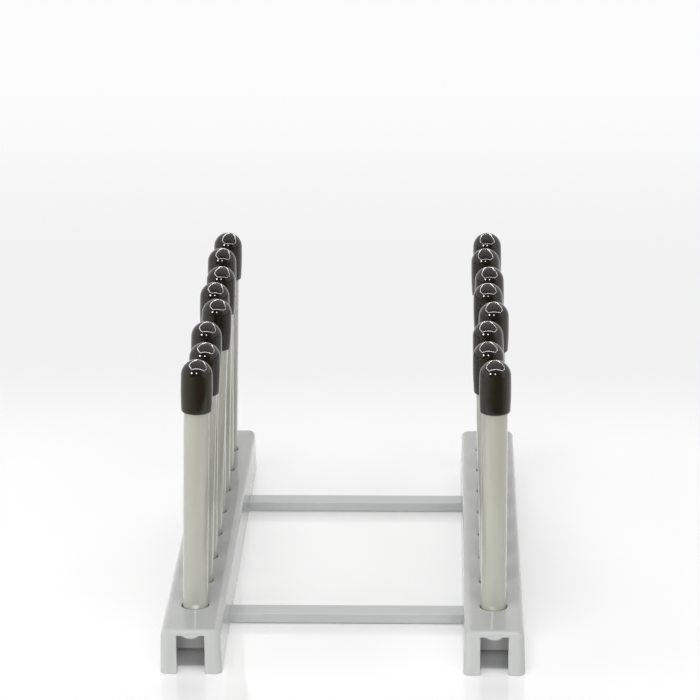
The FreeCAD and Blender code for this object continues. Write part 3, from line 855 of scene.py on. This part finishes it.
def copy_piece(pattern, name, place):
    """A copy with its own mesh, placed in its mesh and riding on the stand."""
    piece = pattern.copy()
    piece.data = pattern.data.copy()
    piece.name = name
    bpy.context.scene.collection.objects.link(piece)
    piece.matrix_world = place
    activate(piece)
    bpy.ops.object.transform_apply(location=True, rotation=True, scale=True)
    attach(piece, ROOT)
    return piece


class STAND_OT_stage(bpy.types.Operator):
    """Build the floor, the lamps and the camera"""

    bl_idname = "stand.stage"
    bl_label = "Build the stage"

    def execute(self, context):
        studio = context.scene.stand_studio
        build_floor()
        build_world(studio)
        build_lamps(studio)
        build_camera(studio)
        context.scene.view_settings.view_transform = "Standard"
        return {"FINISHED"}


def build_floor():
    """A pale glossy floor. The camera and gloss see it lifted near the stand, but not under the rails, where the
    held-down lift is painted shade, and in set tones far off.
    """
    deselect_all()
    bpy.ops.mesh.primitive_circle_add(
        vertices=FLOOR_SIDES, radius=FLOOR_RADIUS, fill_type="NGON", location=(0, 0, -FLOOR_DROP))
    floor = bpy.context.object
    floor.name = "floor"
    floor_tone_group()
    material, tree, shader = new_material("floor_white")
    shader.inputs["Base Color"].default_value = FLOOR_WHITE
    shader.inputs["Roughness"].default_value = FLOOR_ROUGHNESS
    shader.inputs["Specular IOR Level"].default_value = FLOOR_SPECULAR
    shader.inputs["Emission Color"].default_value = (1, 1, 1, 1)
    tone = use_group(tree, "Floor tone", {})
    path = add_node(tree, "ShaderNodeLightPath")
    eye, gloss = path.outputs["Is Camera Ray"], path.outputs["Is Glossy Ray"]
    # Under the rails the lift is held down: painted shade.
    lift = add_node(tree, "ShaderNodeMix", {
        "Factor": tone.outputs["Under"], "A": tone.outputs["Lift"], "B": LIFT_UNDER},
        data_type="FLOAT").outputs[0]
    seen = maths(tree, "MULTIPLY", maths(tree, "MAXIMUM", eye, gloss), lift)
    tree.links.new(seen, shader.inputs["Emission Strength"])
    far = add_node(tree, "ShaderNodeEmission", {"Strength": tone.outputs["Far tone"]})
    room = add_node(tree, "ShaderNodeEmission", {"Color": tone.outputs["Round tone"]})
    last = shader.outputs[0]
    for ray, mask, glow in ((eye, "Far", far), (gloss, "Round", room)):
        share = maths(tree, "MULTIPLY", ray, tone.outputs[mask])
        last = add_node(tree, "ShaderNodeMixShader", {0: share, 1: last, 2: glow.outputs[0]}).outputs[0]
    output = next(node for node in tree.nodes if node.type == "OUTPUT_MATERIAL")
    tree.links.new(last, output.inputs["Surface"])
    put_material(floor, material)


def build_world(studio):
    """Even soft light. Gloss sees a room that is white behind, lighter at the sides and dim in front."""
    world = bpy.data.worlds.new("studio_world")
    bpy.context.scene.world = world
    world.use_nodes = True
    tree = world.node_tree
    tree.nodes.clear()
    path = add_node(tree, "ShaderNodeLightPath")
    direction = add_node(tree, "ShaderNodeTexCoord").outputs["Generated"]
    split = add_node(tree, "ShaderNodeSeparateXYZ", {0: direction})
    back = spread(tree, split.outputs["Y"], *WORLD_BACK, *WORLD_TONES)
    sides = fade(tree, maths(tree, "ABSOLUTE", split.outputs["X"]), *WORLD_SIDE_FADE)
    room = maths(tree, "ADD", back, maths(tree, "MULTIPLY", sides, WORLD_SIDE), clamp=True)
    even = add_node(tree, "ShaderNodeMix", {
        "Factor": path.outputs["Is Glossy Ray"], "A": studio.world_strength, "B": room},
        data_type="FLOAT").outputs[0]
    strength = add_node(tree, "ShaderNodeMix", {
        "Factor": path.outputs["Is Camera Ray"], "A": even, "B": 1.0}, data_type="FLOAT").outputs[0]
    background = add_node(tree, "ShaderNodeBackground", {"Color": (1, 1, 1, 1), "Strength": strength})
    output = add_node(tree, "ShaderNodeOutputWorld")
    tree.links.new(background.outputs[0], output.inputs["Surface"])


def add_lamp(name, place, target, size_x, size_y, watts):
    data = bpy.data.lights.new(name, "AREA")
    data.shape = "RECTANGLE"
    data.size, data.size_y, data.energy = size_x, size_y, watts
    lamp = bpy.data.objects.new(name, data)
    bpy.context.scene.collection.objects.link(lamp)
    lamp.location = place
    lamp.visible_camera = False
    aim = Vector(target) - Vector(place)
    lamp.rotation_euler = aim.to_track_quat("-Z", "Y").to_euler()
    return lamp


def around(bearing, rise, distance):
    """A place seen from the middle of the stand: bearing 0 in front, 90 on the right, and degrees up."""
    turn, up = math.radians(bearing), math.radians(rise)
    level = distance * math.cos(up)
    return Vector((level * math.sin(turn), -level * math.cos(turn), distance * math.sin(up))) + STAND_MIDDLE


def build_lamps(studio):
    """Soft panels that light the stand, and lamps seen in gloss: a lip panel, and a ring and glints for caps."""
    for name, bearing, rise, distance, wide, high, setting, share in PANELS:
        place = around(bearing, rise, distance)
        panel = add_lamp(name, place, STAND_MIDDLE, wide, high, share * getattr(studio, setting))
        panel.visible_glossy = False
    watts = studio.lip_glow * math.pi * LIP_WIDTH * LIP_HEIGHT
    place = around(0, LIP_RISE, LIP_DISTANCE)
    lip = add_lamp("panel_lip", place, STAND_MIDDLE, LIP_WIDTH, LIP_HEIGHT, watts)
    lip.visible_diffuse = False
    lip.light_linking.receiver_collection = bpy.data.collections.new(LIP_RECEIVERS)
    shown = bpy.data.collections.new(RING_RECEIVERS)
    for number, (x, y) in enumerate(RING_CORNERS):
        next_x, next_y = RING_CORNERS[(number + 1) % len(RING_CORNERS)]
        length = math.hypot(next_x - x, next_y - y)
        watts = studio.ring_glow * math.pi * length * STRIP_WIDTH
        place = Vector(((x + next_x) / 2, (y + next_y) / 2, studio.ring_height))
        strip = add_lamp("strip_%d" % (number + 1), place, place - UPWARD, length, STRIP_WIDTH, watts)
        strip.rotation_euler = (0, 0, math.atan2(next_y - y, next_x - x))
        strip.visible_diffuse = False
        strip.light_linking.receiver_collection = shown
    for name, place, across in GLINTS:
        watts = studio.glint_glow * math.pi * math.pi * (across / 2) ** 2
        glint = add_lamp(name, place, STAND_MIDDLE, across, across, watts)
        glint.data.shape = "DISK"
        glint.visible_diffuse = False
        glint.light_linking.receiver_collection = shown


def build_camera(studio):
    data = bpy.data.cameras.new("camera")
    data.lens, data.sensor_width = studio.lens, SENSOR_WIDTH
    data.clip_start, data.clip_end = CLIP_START, CLIP_END
    camera = bpy.data.objects.new("camera", data)
    bpy.context.scene.collection.objects.link(camera)
    turn = Matrix.Rotation(studio.camera_turn, 3, "Z")
    tilt = Matrix.Rotation(math.pi / 2 - studio.camera_tilt, 3, "X")
    roll = Matrix.Rotation(-studio.camera_roll, 3, "Z")
    camera.location = studio.camera_place
    camera.rotation_euler = (turn @ tilt @ roll).to_euler()
    bpy.context.scene.camera = camera


class STAND_PT_panel(bpy.types.Panel):
    """Sizes, colours and steps of the stand"""

    bl_idname = "STAND_PT_panel"
    bl_label = "Record stand"
    bl_space_type = "VIEW_3D"
    bl_region_type = "UI"
    bl_category = "Stand"

    def draw(self, context):
        layout = self.layout
        scene = context.scene
        for settings in (scene.stand_sizes, scene.stand_colours, scene.stand_studio):
            box = layout.box()
            for key in settings.__annotations__:
                box.prop(settings, key)
        for step in STEPS:
            layout.operator(step.bl_idname)


STEPS = (
    STAND_OT_stage,
    STAND_OT_finishes,
    STAND_OT_rails,
    STAND_OT_crossbars,
    STAND_OT_rods,
    STAND_OT_caps,
    STAND_OT_screws,
)
CLASSES = (StandSizes, StandColours, StudioSettings, *STEPS, STAND_PT_panel)


def register():
    for item in CLASSES:
        bpy.utils.register_class(item)
    bpy.types.Scene.stand_sizes = PointerProperty(type=StandSizes)
    bpy.types.Scene.stand_colours = PointerProperty(type=StandColours)
    bpy.types.Scene.stand_studio = PointerProperty(type=StudioSettings)


def unregister():
    del bpy.types.Scene.stand_studio
    del bpy.types.Scene.stand_colours
    del bpy.types.Scene.stand_sizes
    for item in reversed(CLASSES):
        bpy.utils.unregister_class(item)


def main():
    register()
    bpy.ops.stand.stage()
    bpy.ops.stand.finishes()
    bpy.ops.stand.rails()
    bpy.ops.stand.crossbars()
    bpy.ops.stand.rods()
    bpy.ops.stand.caps()
    bpy.ops.stand.screws()


if __name__ == "__main__":
    main()
